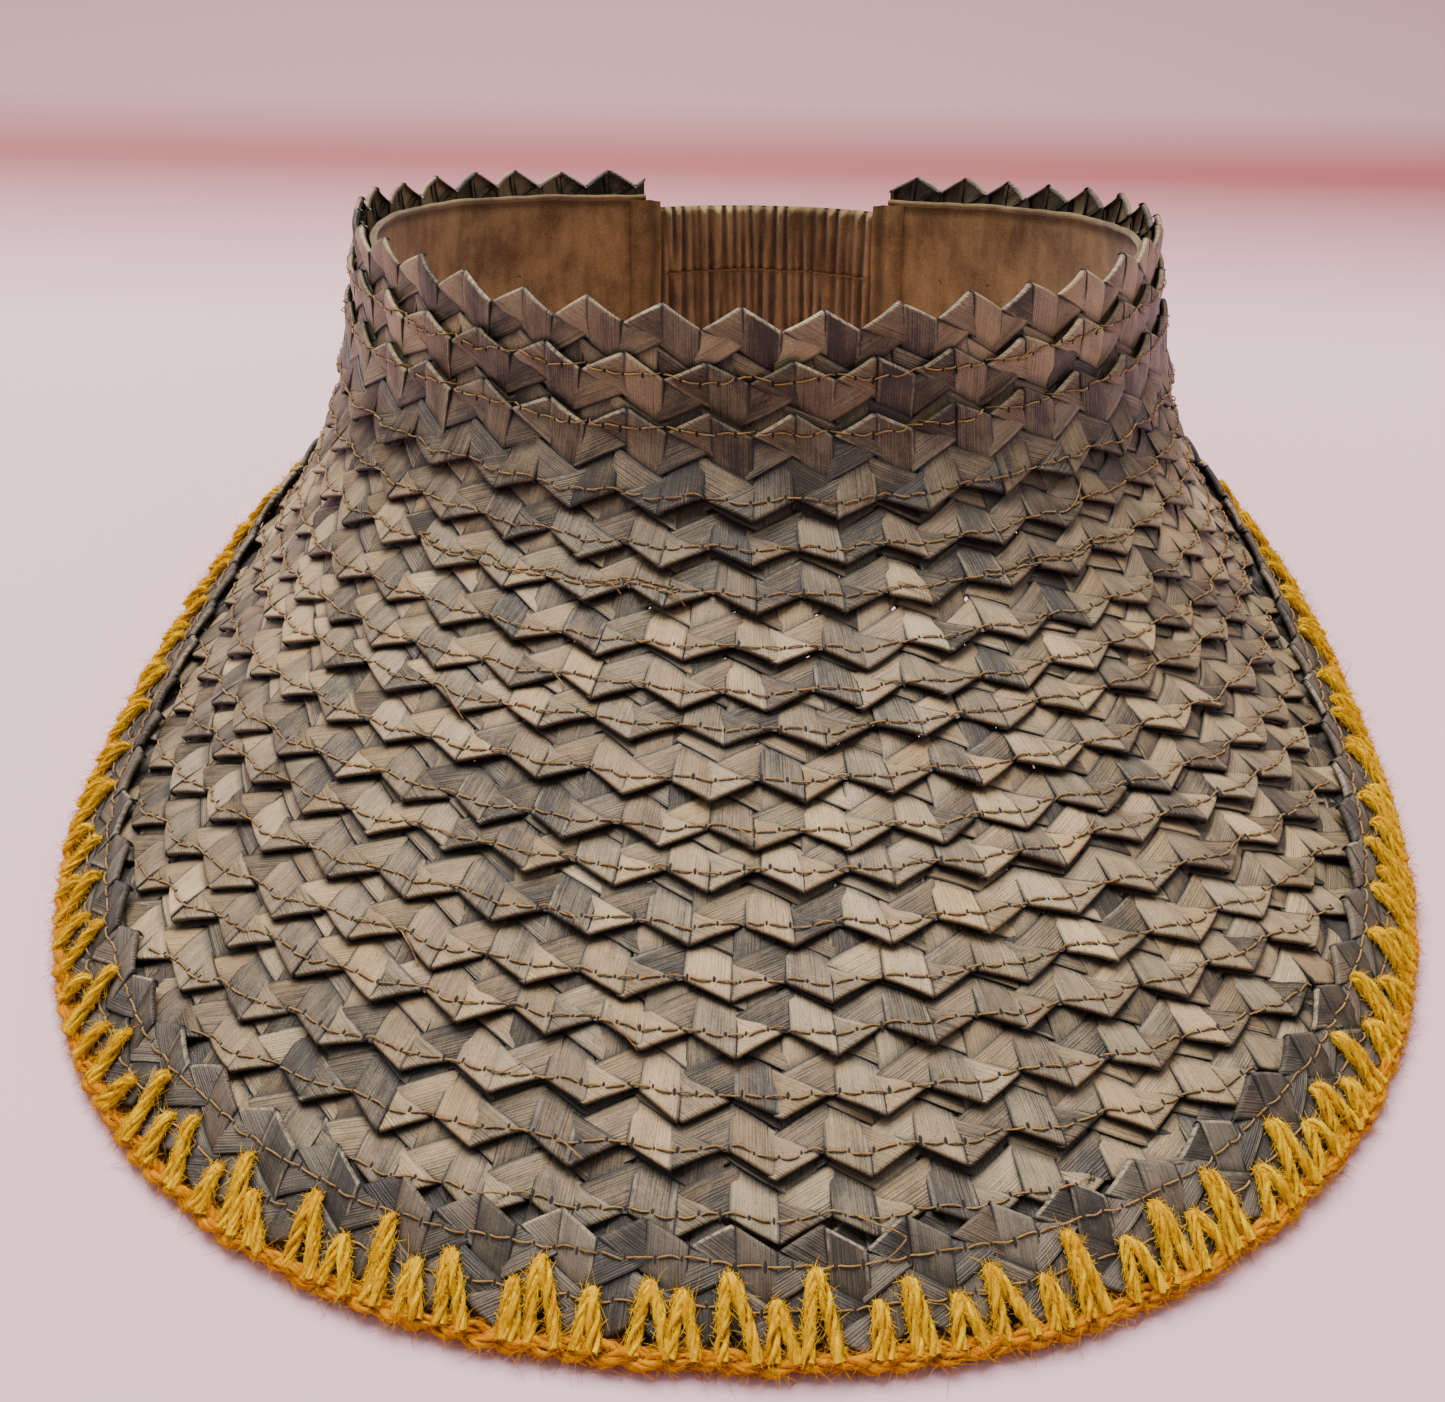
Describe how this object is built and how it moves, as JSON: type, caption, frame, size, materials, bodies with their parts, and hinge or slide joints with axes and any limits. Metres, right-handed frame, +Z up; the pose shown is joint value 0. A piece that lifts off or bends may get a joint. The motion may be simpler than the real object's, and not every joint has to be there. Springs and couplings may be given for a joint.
{
  "type": "sun visor",
  "caption": "Open-topped sun visor of overlapping toothed leaf braids, with a cloth-lined crown, an elastic back and a yarn-stitched brim edge.",
  "frame": {"origin": "middle of the bounding box's base, on the table the visor stands on", "axes": "+Z up from the table, -Y towards the front of the brim, +X to the right of someone facing the visor from the front"},
  "size_m": [0.2786, 0.326, 0.0967],
  "materials": {
    "crown_braid_01": "matte plaited leaf, greyish brown with paler and darker strips",
    "crown_braid_02": "matte plaited leaf, greyish brown with paler and darker strips",
    "crown_braid_03": "matte plaited leaf, greyish brown with paler and darker strips",
    "brim_braid_04": "matte plaited leaf, greyish brown with paler and darker strips",
    "brim_braid_05": "matte plaited leaf, greyish brown with paler and darker strips",
    "brim_braid_06": "matte plaited leaf, greyish brown with paler and darker strips",
    "brim_braid_07": "matte plaited leaf, greyish brown with paler and darker strips",
    "brim_braid_08": "matte plaited leaf, greyish brown with paler and darker strips",
    "brim_braid_09": "matte plaited leaf, greyish brown with paler and darker strips",
    "brim_braid_10": "matte plaited leaf, greyish brown with paler and darker strips",
    "brim_braid_11": "matte plaited leaf, greyish brown with paler and darker strips",
    "brim_braid_12": "matte plaited leaf, greyish brown with paler and darker strips",
    "brim_braid_13": "matte plaited leaf, greyish brown with paler and darker strips",
    "brim_braid_14": "matte plaited leaf, greyish brown with paler and darker strips",
    "brim_braid_15": "matte plaited leaf, greyish brown with paler and darker strips",
    "brim_braid_16": "matte plaited leaf, greyish brown with paler and darker strips",
    "brim_braid_17": "matte plaited leaf, greyish brown with paler and darker strips",
    "edge_braid_18": "matte plaited leaf, greyish brown with paler and darker strips",
    "thread_02": "golden tan sewing thread",
    "thread_03_upper": "golden tan sewing thread",
    "thread_03_lower": "golden tan sewing thread",
    "thread_04": "golden tan sewing thread",
    "thread_05": "golden tan sewing thread",
    "thread_06": "golden tan sewing thread",
    "thread_07": "golden tan sewing thread",
    "thread_08": "golden tan sewing thread",
    "thread_09": "golden tan sewing thread",
    "thread_10": "golden tan sewing thread",
    "thread_11": "golden tan sewing thread",
    "thread_12": "golden tan sewing thread",
    "thread_13": "golden tan sewing thread",
    "thread_14": "golden tan sewing thread",
    "thread_15": "golden tan sewing thread",
    "thread_16": "golden tan sewing thread",
    "thread_17": "golden tan sewing thread",
    "thread_18_inner": "golden tan sewing thread",
    "thread_18_outer": "golden tan sewing thread",
    "yarn_edging": "fuzzy yellow twisted yarn",
    "crown_lining": "napped ochre-brown cloth",
    "side_seam_left": "napped ochre-brown cloth",
    "side_seam_right": "napped ochre-brown cloth",
    "elastic_casing": "napped ochre-brown cloth",
    "elastic_upper": "flat woven elastic",
    "elastic_lower": "flat woven elastic",
    "casing_stitch_inner": "golden tan sewing thread",
    "casing_stitch_outer": "golden tan sewing thread"
  },
  "bodies": {
    "crown": {"crown_braid_01": "crown_braid_01", "crown_braid_02": "crown_braid_02", "crown_braid_03": "crown_braid_03", "brim_braid_04": "brim_braid_04", "brim_braid_05": "brim_braid_05", "brim_braid_06": "brim_braid_06", "brim_braid_07": "brim_braid_07", "brim_braid_08": "brim_braid_08", "brim_braid_09": "brim_braid_09", "brim_braid_10": "brim_braid_10", "brim_braid_11": "brim_braid_11", "brim_braid_12": "brim_braid_12", "brim_braid_13": "brim_braid_13", "brim_braid_14": "brim_braid_14", "brim_braid_15": "brim_braid_15", "brim_braid_16": "brim_braid_16", "brim_braid_17": "brim_braid_17", "edge_braid_18": "edge_braid_18", "thread_02": "thread_02", "thread_03_upper": "thread_03_upper", "thread_03_lower": "thread_03_lower", "thread_04": "thread_04", "thread_05": "thread_05", "thread_06": "thread_06", "thread_07": "thread_07", "thread_08": "thread_08", "thread_09": "thread_09", "thread_10": "thread_10", "thread_11": "thread_11", "thread_12": "thread_12", "thread_13": "thread_13", "thread_14": "thread_14", "thread_15": "thread_15", "thread_16": "thread_16", "thread_17": "thread_17", "thread_18_inner": "thread_18_inner", "thread_18_outer": "thread_18_outer", "yarn_edging": "yarn_edging", "crown_lining": "crown_lining", "side_seam_left": "side_seam_left", "side_seam_right": "side_seam_right"},
    "elastic_back": {"elastic_casing": "elastic_casing", "elastic_upper": "elastic_upper", "elastic_lower": "elastic_lower", "casing_stitch_inner": "casing_stitch_inner", "casing_stitch_outer": "casing_stitch_outer"}
  },
  "joints": [
    {"name": "back_stretch", "type": "slide", "parent": "crown", "child": "elastic_back", "axis": [0, 1, 0], "range_m": [0, 0.02], "stiffness_N_per_m": 120, "deforming": ["elastic_casing", "elastic_upper", "elastic_lower", "casing_stitch_inner", "casing_stitch_outer"]}
  ]
}
